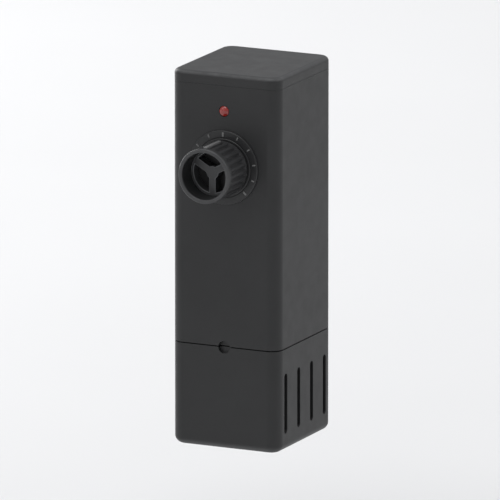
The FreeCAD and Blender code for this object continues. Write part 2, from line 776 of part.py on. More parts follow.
# ---------------------------------------------------------------- write one STEP per node
def nodes():
    lower_cup_h, upper_cup_h = cup_heights()
    return {
        "housing": housing(),
        "lower_guard": lower_guard(),
        "top_cover": top_cover(),
        "top_gasket": top_gasket(),
        "bulkhead": bulkhead(),
        "bulkhead_seal": bulkhead_seal(),
        "heater_tube": heater_tube(),
        "tube_end_cap": tube_end_cap(),
        "tube_gasket": tube_gasket(),
        "tube_clamp_plate": tube_clamp_plate(),
        "clamp_screws": clamp_screws(),
        "tube_plug": tube_plug(),
        "ceramic_core": ceramic_core(),
        "heating_coil": heating_coil(),
        "probe_pocket": probe_pocket(),
        "probe_seal": probe_seal(),
        "thermostat_frame": thermostat_frame(),
        "frame_screws": frame_screws(),
        "stack_spacers": stack_spacers(),
        "stack_rivet": stack_rivet(),
        "blade_foot": blade_foot(),
        "bimetal_blade": bimetal_blade(),
        "moving_contact": moving_contact(),
        "contact_strip": contact_strip(),
        "fixed_contact": fixed_contact(),
        "snap_magnet": snap_magnet(),
        "adjuster_pin": adjuster_pin(),
        "dial_knob": dial_knob(),
        "dial_insert": dial_insert(),
        "dial_pointer": dial_pointer(),
        "dial_shaft": dial_shaft(),
        "shaft_oring": shaft_oring(),
        "shaft_circlip": shaft_circlip(),
        "shaft_bushing": shaft_bushing(),
        "bushing_gasket": bushing_gasket(),
        "bushing_nut": bushing_nut(),
        "scale_ring": scale_ring(),
        "pilot_lens": pilot_lens(),
        "pilot_lamp": pilot_lamp(),
        "lamp_board": lamp_board(),
        "terminal_block": terminal_block(),
        "terminal_screws": terminal_screws(),
        "suppression_capacitor": suppression_capacitor(),
        "thermal_fuse": thermal_fuse(),
        "coil_lead": coil_lead(),
        "fuse_wire": fuse_wire(),
        "line_wire": line_wire(),
        "neutral_wire": neutral_wire(),
        "cord_grommet": cord_grommet(),
        "wall_bracket": wall_bracket(),
        "lower_suction_cup": suction_cup(lower_cup_h),
        "upper_suction_cup": suction_cup(upper_cup_h),
    }


os.makedirs("parts", exist_ok=True)
for name, made in nodes().items():
    shape = Part.Compound(made) if isinstance(made, list) else made
    shape.exportStep("parts/" + name + ".step")
    print(name, "solids", len(shape.Solids), "valid", shape.isValid(), "mm3", round(shape.Volume, 2))
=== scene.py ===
import json
import math

import bmesh
import bpy
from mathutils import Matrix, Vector


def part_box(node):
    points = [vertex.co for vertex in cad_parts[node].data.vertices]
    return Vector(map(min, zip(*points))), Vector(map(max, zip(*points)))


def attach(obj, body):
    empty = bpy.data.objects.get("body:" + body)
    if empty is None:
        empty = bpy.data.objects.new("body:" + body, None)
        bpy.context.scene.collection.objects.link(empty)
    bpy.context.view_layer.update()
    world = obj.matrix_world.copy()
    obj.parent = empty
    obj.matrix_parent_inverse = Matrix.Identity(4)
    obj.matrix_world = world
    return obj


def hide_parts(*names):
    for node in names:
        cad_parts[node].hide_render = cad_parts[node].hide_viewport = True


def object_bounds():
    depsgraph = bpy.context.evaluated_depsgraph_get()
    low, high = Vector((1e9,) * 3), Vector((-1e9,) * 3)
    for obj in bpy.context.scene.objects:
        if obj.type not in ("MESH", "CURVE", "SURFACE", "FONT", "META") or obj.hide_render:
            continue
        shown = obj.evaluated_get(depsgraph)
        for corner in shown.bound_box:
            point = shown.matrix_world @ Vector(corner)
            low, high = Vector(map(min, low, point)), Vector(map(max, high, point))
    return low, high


# A compact submersible aquarium heater, in metres, in the frame of its CAD model.
# Its front faces -Y, the aquarium's glass is the plane y = 0, and Z is up.
# Profiles and their named sizes are millimetres, and become metres where the mesh is made.

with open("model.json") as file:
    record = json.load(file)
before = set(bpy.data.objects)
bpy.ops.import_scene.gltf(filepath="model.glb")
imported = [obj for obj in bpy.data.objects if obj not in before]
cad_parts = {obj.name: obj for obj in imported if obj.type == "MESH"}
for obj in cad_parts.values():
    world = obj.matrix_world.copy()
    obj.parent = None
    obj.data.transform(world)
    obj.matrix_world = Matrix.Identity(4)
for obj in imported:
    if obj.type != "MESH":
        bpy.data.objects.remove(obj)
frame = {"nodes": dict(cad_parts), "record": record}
cad_low, cad_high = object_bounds()

MM = 0.001
RECORD = frame["record"]
BODY_OF = {node: body for body, nodes in RECORD["behaviour"]["bodies"].items() for node in nodes}
SLOT_OF = {part["node"]: part["material_slot"] for part in RECORD["subparts"]}


# ---------------------------------------------------------------- camera
VIEW_AZIMUTH = 25.4
VIEW_ELEVATION = 13.0
VIEW_DISTANCE = 3.0
VIEW_WIDTH = 0.116          # what the frame takes in, across, at the object
SENSOR = 36.0
CLIP_NEAR = 0.05
CLIP_FAR = 20.0


def direction(azimuth, elevation):
    """Unit vector from the object. Azimuth 0 is straight out of its front, 90 to its right."""
    turn = math.radians(azimuth)
    rise = math.radians(elevation)
    level = math.cos(rise)
    return Vector((math.sin(turn) * level, -math.cos(turn) * level, math.sin(rise)))


def make_camera():
    centre = (cad_low + cad_high) / 2
    back = direction(VIEW_AZIMUTH, VIEW_ELEVATION)
    data = bpy.data.cameras.new("camera")
    data.sensor_width = SENSOR
    data.lens = SENSOR * VIEW_DISTANCE / VIEW_WIDTH
    data.clip_start = CLIP_NEAR
    data.clip_end = CLIP_FAR
    camera = bpy.data.objects.new("camera", data)
    camera.rotation_mode = "QUATERNION"
    camera.location = centre + back * VIEW_DISTANCE
    camera.rotation_quaternion = (-back).to_track_quat("-Z", "Y")
    bpy.context.scene.collection.objects.link(camera)
    bpy.context.scene.camera = camera


make_camera()


# ---------------------------------------------------------------- node helpers
MIX_COLOURS = (6, 7)        # the Mix node's two colour inputs
MIX_RESULT = 2              # and its colour output


def node_tree(name):
    material = bpy.data.materials.new(name)
    material.use_nodes = True
    tree = material.node_tree
    shader = tree.nodes["Principled BSDF"]
    where = tree.nodes.new("ShaderNodeTexCoord").outputs["Object"]
    return material, tree, shader, where


def noise(tree, where, size, detail, rough, stretch=None):
    """Noise whose features are about that many metres across."""
    if stretch is not None:
        mapping = tree.nodes.new("ShaderNodeMapping")
        mapping.inputs["Scale"].default_value = stretch
        tree.links.new(where, mapping.inputs["Vector"])
        where = mapping.outputs["Vector"]
    texture = tree.nodes.new("ShaderNodeTexNoise")
    texture.inputs["Scale"].default_value = 1.0 / size
    texture.inputs["Detail"].default_value = detail
    texture.inputs["Roughness"].default_value = rough
    tree.links.new(where, texture.inputs["Vector"])
    return texture.outputs["Fac"]


def remap(tree, value, low, high, start=0.3, end=0.7):
    """Maps start to end onto low to high. Most of a noise lies between 0.3 and 0.7."""
    node = tree.nodes.new("ShaderNodeMapRange")
    node.inputs["From Min"].default_value = start
    node.inputs["From Max"].default_value = end
    node.inputs["To Min"].default_value = low
    node.inputs["To Max"].default_value = high
    tree.links.new(value, node.inputs["Value"])
    return node.outputs["Result"]


def blend_colours(tree, share, first, second):
    node = tree.nodes.new("ShaderNodeMix")
    node.data_type = "RGBA"
    for number, colour in zip(MIX_COLOURS, (first, second)):
        socket = node.inputs[number]
        if isinstance(colour, bpy.types.NodeSocket):
            tree.links.new(colour, socket)
        else:
            socket.default_value = (*colour, 1.0)
    tree.links.new(share, node.inputs[0])
    return node.outputs[MIX_RESULT]


def multiply(tree, first, second):
    node = tree.nodes.new("ShaderNodeMath")
    node.operation = "MULTIPLY"
    tree.links.new(first, node.inputs[0])
    tree.links.new(second, node.inputs[1])
    return node.outputs[0]


def scaled(colour, factor):
    return tuple(min(1.0, c * factor) for c in colour)


def vary_colour(tree, shader, pattern, colour, darker, lighter):
    """Lets the base colour drift between two shades of itself."""
    shade = remap(tree, pattern, 0, 1)
    base = blend_colours(tree, shade, scaled(colour, darker), scaled(colour, lighter))
    tree.links.new(base, shader.inputs["Base Color"])


def vary_roughness(tree, shader, pattern, low, high):
    tree.links.new(remap(tree, pattern, low, high), shader.inputs["Roughness"])


def bump(tree, shader, height, strength, distance, after=None):
    node = tree.nodes.new("ShaderNodeBump")
    node.inputs["Strength"].default_value = strength
    node.inputs["Distance"].default_value = distance
    tree.links.new(height, node.inputs["Height"])
    if after is not None:
        tree.links.new(after, node.inputs["Normal"])
    tree.links.new(node.outputs["Normal"], shader.inputs["Normal"])
    return node.outputs["Normal"]


# ---------------------------------------------------------------- families of material
FLOW_SIZE = 16 * MM         # moulded plastic: where the melt flowed
SKIN_SIZE = 3.2 * MM        # duller and brighter patches of its skin
SPARK_GRAIN = 0.24 * MM     # grain that the spark-eroded mould leaves
SPARK_RELIEF = 0.006 * MM
MOTTLE = 0.1                # share by which its colour varies
SPECK = 1.5                 # how much lighter the tips of the grain are
MOULDED_SPECULAR = 0.42
WEAR_AND_HIGHLIGHT_ATTRIBUTE = "wear_and_highlight"                 # mesh attribute: 0 untouched to 1 rubbed; on the case's rims it also carries a painted highlight

GRAIN_FINE = 0.25 * MM      # small parts
GRAIN_DIAL = 0.28 * MM
GRAIN_COARSE = 0.5 * MM     # bracket, rubber and drawn metal

COAT_ROUGHNESS = 0.15
DRAWN_DOWN = (1.0, 1.0, 14.0)       # lines across Z, one number per axis
TURNED_SHAFT = (1.0, 16.0, 1.0)
TURNED_BUSHING = (1.0, 12.0, 1.0)
DRAWN_CASE = (1.0, 1.0, 10.0)


# rubbed sets how much lighter the rubbed edges and the case's rims get; on the rims that is partly
# a painted highlight.
def moulded(name, colour, rough, grain=SPARK_GRAIN, rubbed=3.6):
    """Injection-moulded plastic: spark-eroded grain, faint flow mottling, and edges lightened
    where rubbed, which on the case's rims is also a painted highlight.
    """
    material, tree, shader, where = node_tree(name)
    flow = noise(tree, where, FLOW_SIZE, 2.0, 0.45)
    skin = noise(tree, where, SKIN_SIZE, 3.0, 0.55)
    fine = noise(tree, where, grain, 2.0, 0.6)
    dark, light = scaled(colour, 1 - MOTTLE), scaled(colour, 1 + MOTTLE)
    base = blend_colours(tree, remap(tree, flow, 0, 1), dark, light)
    specks = remap(tree, fine, 0, 0.25, 0.5, 0.8)
    base = blend_colours(tree, specks, base, scaled(colour, SPECK))
    # The attribute lightens the colour: rubbed edges, and on the case's rims also a painted
    # highlight.
    wear_and_highlight = tree.nodes.new("ShaderNodeAttribute")
    wear_and_highlight.attribute_name = WEAR_AND_HIGHLIGHT_ATTRIBUTE
    wear_and_highlight_share = multiply(tree, wear_and_highlight.outputs["Fac"], remap(tree, skin, 0.45, 1.0))
    base = blend_colours(tree, wear_and_highlight_share, base, scaled(colour, rubbed))
    tree.links.new(base, shader.inputs["Base Color"])
    vary_roughness(tree, shader, skin, rough - 0.025, rough + 0.03)
    uneven = bump(tree, shader, skin, 0.12, SPARK_RELIEF * 2)
    bump(tree, shader, fine, 0.5, SPARK_RELIEF, uneven)
    shader.inputs["Specular IOR Level"].default_value = MOULDED_SPECULAR
    return material


def rubber(name, colour, rough=0.5, sheen=0.0):
    """Moulded rubber: cloudy surface with a slight bloom."""
    material, tree, shader, where = node_tree(name)
    cloud = noise(tree, where, 5 * MM, 4.0, 0.6)
    fine = noise(tree, where, GRAIN_COARSE, 2.0, 0.5)
    vary_colour(tree, shader, cloud, colour, 0.8, 1.35)
    vary_roughness(tree, shader, cloud, rough - 0.08, rough + 0.1)
    bump(tree, shader, fine, 0.35, 0.012 * MM)
    shader.inputs["Sheen Weight"].default_value = sheen
    return material


def cup_rubber(name, colour):
    """Soft PVC: smooth from the mould, and cloudy."""
    material, tree, shader, where = node_tree(name)
    cloud = noise(tree, where, 6 * MM, 3.0, 0.5)
    fine = noise(tree, where, GRAIN_COARSE, 2.0, 0.5)
    vary_colour(tree, shader, cloud, colour, 0.8, 1.25)
    vary_roughness(tree, shader, cloud, 0.27, 0.4)
    bump(tree, shader, fine, 0.2, 0.008 * MM)
    return material


def metal(name, colour, rough, brushed=DRAWN_DOWN, tarnish=0.25):
    """Worked metal: drawn lines one way, with duller patches."""
    material, tree, shader, where = node_tree(name)
    lines = noise(tree, where, GRAIN_COARSE, 3.0, 0.6, brushed)
    patches = noise(tree, where, 4 * MM, 3.0, 0.55)
    vary_colour(tree, shader, patches, colour, 1 - tarnish, 1.08)
    vary_roughness(tree, shader, patches, rough + 0.1, rough - 0.05)
    bump(tree, shader, lines, 0.4, 0.006 * MM)
    shader.inputs["Metallic"].default_value = 1.0
    return material


def glazed(name, colour, rough, cloud_size=3 * MM, coat=0.3):
    """Smooth lacquered or sleeved surface with slight unevenness."""
    material, tree, shader, where = node_tree(name)
    cloud = noise(tree, where, cloud_size, 3.0, 0.5)
    vary_colour(tree, shader, cloud, colour, 0.86, 1.1)
    vary_roughness(tree, shader, cloud, rough - 0.04, rough + 0.08)
    bump(tree, shader, cloud, 0.2, 0.02 * MM)
    shader.inputs["Coat Weight"].default_value = coat
    shader.inputs["Coat Roughness"].default_value = COAT_ROUGHNESS
    return material


def ceramic(name, colour):
    """Unglazed fired ceramic: chalky, with tiny pores."""
    material, tree, shader, where = node_tree(name)
    pores = noise(tree, where, 0.4 * MM, 4.0, 0.7)
    cloud = noise(tree, where, 6 * MM, 2.0, 0.5)
    vary_colour(tree, shader, cloud, colour, 0.88, 1.05)
    vary_roughness(tree, shader, pores, 0.72, 0.9)
    bump(tree, shader, pores, 0.5, 0.03 * MM)
    return material


def glass(name, colour, rough, ior, film):
    """Clear glass with a faint film on it."""
    material, tree, shader, where = node_tree(name)
    smear = noise(tree, where, 6 * MM, 3.0, 0.55, (1.0, 1.0, 0.4))
    vary_roughness(tree, shader, smear, rough, rough + film)
    vary_colour(tree, shader, smear, colour, 1.0, 0.93)
    bump(tree, shader, smear, 0.15, 0.02 * MM)
    shader.inputs["Transmission Weight"].default_value = 1.0
    shader.inputs["IOR"].default_value = ior
    return material


def make_materials():
    """One material for each slot of the record."""
    charcoal = (0.0165, 0.0167, 0.0173)
    cover = scaled(charcoal, 1.06)
    guard = scaled(charcoal, 0.96)
    bracket = scaled(charcoal, 0.9)
    dial = scaled(charcoal, 1.25)
    # The scale ring's lighter charcoal and the insert's mid grey are partly the parts' own colours
    # and partly a painted highlight on the ring round the dial and on its spokes.
    scale = scaled(charcoal, 1.15)
    arms = (0.055, 0.056, 0.058)
    marks = (0.15, 0.15, 0.15)
    return {
        "housing_plastic": moulded("charcoal_housing", charcoal, 0.47),
        "cover_plastic": moulded("charcoal_cover", cover, 0.46),
        "guard_plastic": moulded("charcoal_guard", guard, 0.48),
        "bracket_plastic": moulded("charcoal_bracket", bracket, 0.42, GRAIN_COARSE),
        "dial_plastic": moulded("charcoal_dial", dial, 0.4, GRAIN_DIAL, rubbed=3.0),
        "insert_plastic": moulded("grey_insert_painted_highlight", arms, 0.38, GRAIN_FINE),
        "scale_plastic": moulded("charcoal_scale_painted_highlight", scale, 0.36, GRAIN_FINE),
        "pointer_plastic": moulded("grey_pointer", marks, 0.42, GRAIN_FINE, rubbed=1.1),
        "cup_rubber": cup_rubber("cup_pvc", (0.026, 0.027, 0.03)),
        "seal_rubber": rubber("seal_rubber_black", (0.022, 0.022, 0.023), 0.55),
        "silicone": rubber("silicone_red", (0.42, 0.12, 0.07), 0.45, 0.1),
        "inner_plastic": moulded("natural_plastic", (0.5, 0.48, 0.42), 0.45, rubbed=1.1),
        "pin_plastic": moulded("natural_pin", (0.62, 0.61, 0.56), 0.4, rubbed=1.1),
        "tube_glass": glass("borosilicate", (0.93, 0.97, 0.95), 0.02, 1.47, 0.08),
        "lens_plastic": glazed("red_lens", (0.26, 0.012, 0.008), 0.16, 0.8 * MM, 0.7),
        "lamp_plastic": glazed("lamp_red", (0.5, 0.03, 0.015), 0.25),
        "ceramic": ceramic("steatite", (0.78, 0.75, 0.68)),
        "coil_alloy": metal("resistance_wire", (0.33, 0.28, 0.25), 0.45, tarnish=0.4),
        "steel_plate": metal("steel_sheet", (0.56, 0.57, 0.58), 0.34),
        "screw_steel": metal("zinc_plated", (0.64, 0.65, 0.68), 0.28),
        "shaft_steel": metal("stainless_turned", (0.58, 0.58, 0.6), 0.24, TURNED_SHAFT),
        "brass": metal("brass_turned", (0.68, 0.48, 0.2), 0.27, TURNED_BUSHING),
        "bimetal": metal("bimetal_strip", (0.6, 0.52, 0.44), 0.3),
        "contact_silver": metal("contact_metal", (0.82, 0.82, 0.8), 0.18),
        "magnet": metal("magnet_dull", (0.12, 0.12, 0.13), 0.55),
        "board": glazed("circuit_board", (0.02, 0.13, 0.05), 0.3, 1.2 * MM),
        "capacitor_plastic": glazed("capacitor_case", (0.62, 0.42, 0.05), 0.35),
        "fuse_metal": metal("fuse_case", (0.68, 0.68, 0.7), 0.3, DRAWN_CASE),
        "lead_sleeve": glazed("white_sleeve", (0.62, 0.62, 0.6), 0.4),
        "line_sleeve": glazed("brown_sleeve", (0.16, 0.055, 0.02), 0.38),
        "neutral_sleeve": glazed("blue_sleeve", (0.02, 0.08, 0.34), 0.38),
    }


MATERIALS = make_materials()


# ---------------------------------------------------------------- mesh helpers
SAME_PLACE = 2e-6           # metres: vertices nearer than this are one
SAME_PLANE = 0.3            # degrees: faces that bend less are one
HARD_EDGE = 28.0            # degrees: edges that bend more get rounded
SHARP_SHADING = 30.0        # degrees: edges that bend more are shaded as creases
AXIS_RADIUS = 1e-6          # profile points nearer to the axis are on it


def mark_wear_and_highlight(bm, share):
    """Stores how much each face corner is lightened, for wear and painted highlight: share(face,
    vert) from 0 to 1.
    """
    layer = bm.loops.layers.float.get(WEAR_AND_HIGHLIGHT_ATTRIBUTE) or bm.loops.layers.float.new(WEAR_AND_HIGHLIGHT_ATTRIBUTE)
    for face in bm.faces:
        for loop in face.loops:
            loop[layer] = share(face, loop.vert)


def finish_piece(name, bm, node, wear_and_highlight=None, stands_for=True, slot=None):
    """Turns a bmesh into a piece that rides on the node's body and has its material."""
    bmesh.ops.recalc_face_normals(bm, faces=bm.faces)
    if wear_and_highlight is not None:
        bm.normal_update()
        mark_wear_and_highlight(bm, wear_and_highlight)
    mesh = bpy.data.meshes.new(name)
    bm.to_mesh(mesh)
    bm.free()
    mesh.shade_smooth()
    mesh.set_sharp_from_angle(angle=math.radians(SHARP_SHADING))
    slot = slot or SLOT_OF[node]
    mesh.materials.append(MATERIALS[slot])
    piece = bpy.data.objects.new(name, mesh)
    bpy.context.scene.collection.objects.link(piece)
    weighted = piece.modifiers.new("weighted_normals", "WEIGHTED_NORMAL")
    weighted.keep_sharp = True
    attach(piece, BODY_OF[node])
    if stands_for:
        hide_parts(node)


def is_hard(edge):
    outer = len(edge.link_faces) == 2 and edge.is_convex
    return outer and edge.calc_face_angle() > math.radians(HARD_EDGE)


def round_edges(bm, edges, offset, steps, **options):
    """Bevels the edges by that many millimetres and returns the new faces."""
    made = bmesh.ops.bevel(bm, geom=edges, offset=offset * MM, segments=steps, profile=0.5,
                           affect="EDGES", clamp_overlap=True, **options)
    return made["faces"]


def softened(node, edge, steps=2, wear_and_highlight=None, wear_and_highlight_share=1.0):
    """A piece with a CAD node's shape, whose sharp outer edges are rounded and rubbed; the share
    function passed in lightens more of it, which on the case's rims is partly a painted highlight.
    """
    bm = bmesh.new()
    bm.from_mesh(frame["nodes"][node].data)
    bmesh.ops.remove_doubles(bm, verts=bm.verts, dist=SAME_PLACE)
    flat = math.radians(SAME_PLANE)
    bmesh.ops.dissolve_limit(bm, angle_limit=flat, verts=bm.verts, edges=bm.edges)
    hard = [e for e in bm.edges if is_hard(e)]
    rounded_faces = set(round_edges(bm, hard, edge, steps, miter_outer="ARC"))

    def share(face, vert):
        if face in rounded_faces:
            return wear_and_highlight_share
        return wear_and_highlight(vert) if wear_and_highlight else 0.0

    finish_piece(node + "_soft", bm, node, wear_and_highlight=share)


def rounded_path(points, steps=5):
    """(a, b, radius) corners in millimetres to (a, b) points with the corners rounded."""
    path = []
    for i, (a, b, radius) in enumerate(points):
        corner = Vector((a, b))
        if radius <= 0 or i in (0, len(points) - 1):
            path.append(corner)
            continue
        before = Vector(points[i - 1][:2]) - corner
        after = Vector(points[i + 1][:2]) - corner
        reach = min(radius, before.length * 0.49, after.length * 0.49)
        first = corner + before.normalized() * reach
        last = corner + after.normalized() * reach
        for k in range(steps + 1):
            t = k / steps
            path.append(first * (1 - t) ** 2 + corner * 2 * t * (1 - t) + last * t * t)
    return path


def divided(path, longest):
    """Adds points so that no stretch of the path is longer than that."""
    dense = [path[0]]
    for point in path[1:]:
        pieces = max(1, math.ceil((point - dense[-1]).length / longest))
        start = dense[-1]
        dense.extend(start.lerp(point, (k + 1) / pieces) for k in range(pieces))
    return dense


def ring_y(bm, radius, y, height, around, warp):
    """One ring of a lathed piece, or a single vertex where the profile is on the axis."""
    if radius < AXIS_RADIUS:
        return [bm.verts.new((0.0, y * MM, height))]
    ring = []
    for k in range(around):
        angle = 2 * math.pi * k / around
        r, depth = warp(angle, radius, y) if warp else (radius, y)
        x = r * MM * math.cos(angle)
        z = height + r * MM * math.sin(angle)
        ring.append(bm.verts.new((x, depth * MM, z)))
    return ring


def spin_y(bm, path, height, around, warp=None):
    """Lathes a (radius, y) path round the line along Y at that height.

    The path runs from axis to axis, or is joined up into a ring.
    """
    rows = [ring_y(bm, radius, y, height, around, warp) for radius, y in path]
    pairs = list(zip(rows, rows[1:]))
    if len(rows[0]) > 1:
        pairs.append((rows[-1], rows[0]))
    for low, high in pairs:
        for k in range(around):
            after = k + 1
            corners = [low[k % len(low)], low[after % len(low)],
                       high[after % len(high)], high[k % len(high)]]
            unique = list(dict.fromkeys(corners))
            if len(unique) > 2:
                bm.faces.new(unique)


def plate(bm, outline, y0, y1, edge, steps=3):
    """Upright plate from an (x, z) outline in metres, with rounded edges."""
    front = [bm.verts.new((x, y0 * MM, z)) for x, z in outline]
    back = [bm.verts.new((x, y1 * MM, z)) for x, z in outline]
    faces = [bm.faces.new(front), bm.faces.new(back[::-1])]
    count = len(outline)
    for i in range(count):
        after = (i + 1) % count
        faces.append(bm.faces.new([front[i], back[i], back[after], front[after]]))
    rims = [e for face in faces[:2] for e in face.edges]
    bmesh.ops.recalc_face_normals(bm, faces=faces)
    round_edges(bm, rims, edge, steps)


def box_outline(x0, x1, z0, z1, height=0.0):
    """Corners in millimetres, above that height in metres, to an outline in metres."""
    corners = [(x0, z0), (x1, z0), (x1, z1), (x0, z1)]
    return [(x * MM, height + z * MM) for x, z in corners]


def smooth_step(value, start, end):
    t = max(0.0, min(1.0, (value - start) / (end - start)))
    return t * t * (3 - 2 * t)


def plain_nodes(nodes):
    """CAD nodes that keep their own mesh and get a finished material."""
    for node in nodes:
        mesh = frame["nodes"][node].data
        mesh.materials.clear()
        mesh.materials.append(MATERIALS[SLOT_OF[node]])


# ---------------------------------------------------------------- housing, guard, cover
CASE_EDGE = 0.15            # radius of the moulded edges at the seams
CASE_WORN = 0.15            # how rubbed those edges are
RIM_HEIGHT = 2.2            # how far from either end the rounded rims reach
INSIDE_X = 9.0              # the case's walls lie outside these three
INSIDE_FRONT = -36.0
INSIDE_REAR = -12.0


def case_rim_wear_and_highlight(vert):
    """Lightens the rounded rims round the foot and the crown: partly rubbing wear, partly a
    painted highlight along the rims.
    """
    to_end = min(vert.co.z - cad_low.z, cad_high.z - vert.co.z)
    beyond_y = vert.co.y < INSIDE_FRONT * MM or vert.co.y > INSIDE_REAR * MM
    outside = abs(vert.co.x) > INSIDE_X * MM or beyond_y
    if to_end >= RIM_HEIGHT * MM or not outside:
        return 0.0
    steep = abs(vert.normal.z)
    return smooth_step(steep, 0.15, 0.6) * (1 - smooth_step(steep, 0.9, 0.99))


def make_case():
    for node in ("housing", "lower_guard", "top_cover"):
        softened(node, CASE_EDGE, wear_and_highlight=case_rim_wear_and_highlight, wear_and_highlight_share=CASE_WORN)


# ---------------------------------------------------------------- dial
DIAL_Z = (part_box("dial_shaft")[0].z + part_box("dial_shaft")[1].z) / 2
KNOB_LOW, KNOB_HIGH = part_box("dial_knob")
KNOB_R = KNOB_HIGH.x / MM
KNOB_FRONT = KNOB_LOW.y / MM
KNOB_BACK = KNOB_HIGH.y / MM
KNOB_RIM = 1.0              # thickness of its wall
KNOB_FLUTES = 24
KNOB_AROUND = 288           # twelve points to a flute
KNOB_STEP = 0.4             # longest stretch of its profile
FLUTE_DEPTH = 0.34
FLUTE_ROUND = 1.3           # power that makes the ribs broader than the hollows
FLUTE_SKIN = 0.45           # only this outer skin is hollowed
FLUTE_FADE = 0.7
GRIP_START = KNOB_FRONT + 1.5
GRIP_END = KNOB_BACK - 0.8


def knob_warp(angle, radius, y):
    """Hollows the grip into round-ended flutes."""
    if radius < KNOB_R - FLUTE_SKIN:
        return radius, y
    begun = smooth_step(y, GRIP_START, GRIP_START + FLUTE_FADE)
    inside = begun * (1 - smooth_step(y, GRIP_END - FLUTE_FADE, GRIP_END))
    hollow = ((1 - math.cos(KNOB_FLUTES * angle)) / 2) ** FLUTE_ROUND
    return radius - FLUTE_DEPTH * inside * hollow, y


def knob_rub(face, vert):
    """The lip and the ribs are rubbed, the hollows are not."""
    y = vert.co.y / MM
    out = math.hypot(vert.co.x, vert.co.z - DIAL_Z) / MM
    lip = 1 - smooth_step(y, KNOB_FRONT + 0.1, KNOB_FRONT + 0.5)
    rib = smooth_step(out, KNOB_R - 0.15, KNOB_R - 0.02)
    return max(0.8 * lip, 0.35 * rib)


def make_knob():
    inner = KNOB_R - KNOB_RIM
    floor_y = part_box("dial_insert")[1].y / MM - 0.02
    corners = [
        (0.0, floor_y, 0.0),
        (inner, floor_y, 0.15),
        (inner, KNOB_FRONT, 0.4),
        (KNOB_R, KNOB_FRONT, 0.45),
        (KNOB_R, KNOB_BACK, 0.3),
        (0.0, KNOB_BACK, 0.0),
    ]
    bm = bmesh.new()
    path = divided(rounded_path(corners), KNOB_STEP)
    spin_y(bm, path, DIAL_Z, KNOB_AROUND, knob_warp)
    finish_piece("knob_grip", bm, "dial_knob", wear_and_highlight=knob_rub)


def make_insert():
    softened("dial_insert", 0.2, 3)


def make_pointer():
    softened("dial_pointer", 0.15, 3)


# ---------------------------------------------------------------- scale ring
SCALE_LOW, SCALE_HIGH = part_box("scale_ring")
SCALE_MARKS = 11
SCALE_SWEEP = 270.0
MAJOR_EVERY = 5
MARK_HEIGHT = 0.15          # how far the marks stand above the ring
MARK_T = 0.3                # their whole thickness, half of it inside the ring
MARK_END = 8.4              # radius where every mark ends
MAJOR_MARK = (7.25, 0.24)   # radius where it starts, and half its width
MINOR_MARK = (7.55, 0.15)
MARK_STEPS = 6              # round each end


def make_scale_ring():
    """Flat ring with a fine groove inside its marks."""
    bore = 4.65
    outer = SCALE_HIGH.x / MM
    face_y = SCALE_LOW.y / MM + MARK_HEIGHT
    groove_y = face_y + 0.1
    back_y = SCALE_HIGH.y / MM
    corners = [
        (bore, back_y, 0.0),
        (bore, face_y, 0.1),
        (6.75, face_y, 0.05),
        (6.85, groove_y, 0.04),
        (6.98, groove_y, 0.04),
        (7.08, face_y, 0.05),
        (outer, face_y, 0.25),
        (outer, back_y, 0.0),
    ]
    bm = bmesh.new()
    spin_y(bm, rounded_path(corners), DIAL_Z, 160)
    finish_piece("scale_disc", bm, "scale_ring", wear_and_highlight=lambda face, vert: 0.0)


def mark_outline(turn, inner, half):
    """Round-ended bar along a radius of the ring, as an outline in metres."""
    along = Vector((math.cos(turn), math.sin(turn)))
    across = Vector((-along.y, along.x))
    outline = []
    for end, way in ((MARK_END - half, 1), (inner + half, -1)):
        for k in range(MARK_STEPS + 1):
            angle = math.pi * k / MARK_STEPS - math.pi / 2
            out = along * (end + way * half * math.cos(angle))
            point = out + across * way * half * math.sin(angle)
            outline.append((point.x * MM, DIAL_Z + point.y * MM))
    return outline


def make_scale_marks():
    """Raised marks round the ring, the end and middle ones longer and wider."""
    face_y = SCALE_LOW.y / MM
    start = 90 - SCALE_SWEEP / 2
    bm = bmesh.new()
    for i in range(SCALE_MARKS):
        inner, half = MINOR_MARK if i % MAJOR_EVERY else MAJOR_MARK
        turn = math.radians(start + i * SCALE_SWEEP / (SCALE_MARKS - 1))
        plate(bm, mark_outline(turn, inner, half), face_y, face_y + MARK_T, 0.06, 2)
    finish_piece("scale_marks", bm, "scale_ring", stands_for=False, slot="pointer_plastic")


# ---------------------------------------------------------------- pilot lamp
LENS_R = 1.26
LENS_FLANGE_R = 1.9
LENS_FLANGE_T = 0.6


def make_lens():
    """Domed lens with its flange inside the wall."""
    low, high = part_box("pilot_lens")
    height = (low.z + high.z) / 2
    face_y = low.y / MM
    back_y = high.y / MM
    seat_y = back_y - LENS_FLANGE_T
    corners = [
        (0.0, face_y - 0.12, 0.0),
        (0.7, face_y - 0.08, 0.4),
        (LENS_R, face_y + 0.3, 0.35),
        (LENS_R, seat_y, 0.05),
        (LENS_FLANGE_R, seat_y, 0.05),
        (LENS_FLANGE_R, back_y, 0.05),
        (0.0, back_y, 0.0),
    ]
    bm = bmesh.new()
    spin_y(bm, rounded_path(corners), height, 48)
    finish_piece("lens_dome", bm, "pilot_lens")


# ---------------------------------------------------------------- wall bracket
BRACKET_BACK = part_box("wall_bracket")[1].y / MM
PLATE_T = 1.5
RIB_REACH = 12.2            # the ribs' frame is this high, up and down from the middle
RIB_SUNK = 0.2              # how far inside the plate the ribs start
RIB_EDGE = 0.25
SIDE_RIB = (5.7, 6.6, 0.7)   # from, to, and how far it stands out
CROSS_RIB = (6.3, 0.4, 0.6)  # half its length, half its width, and how far it stands out


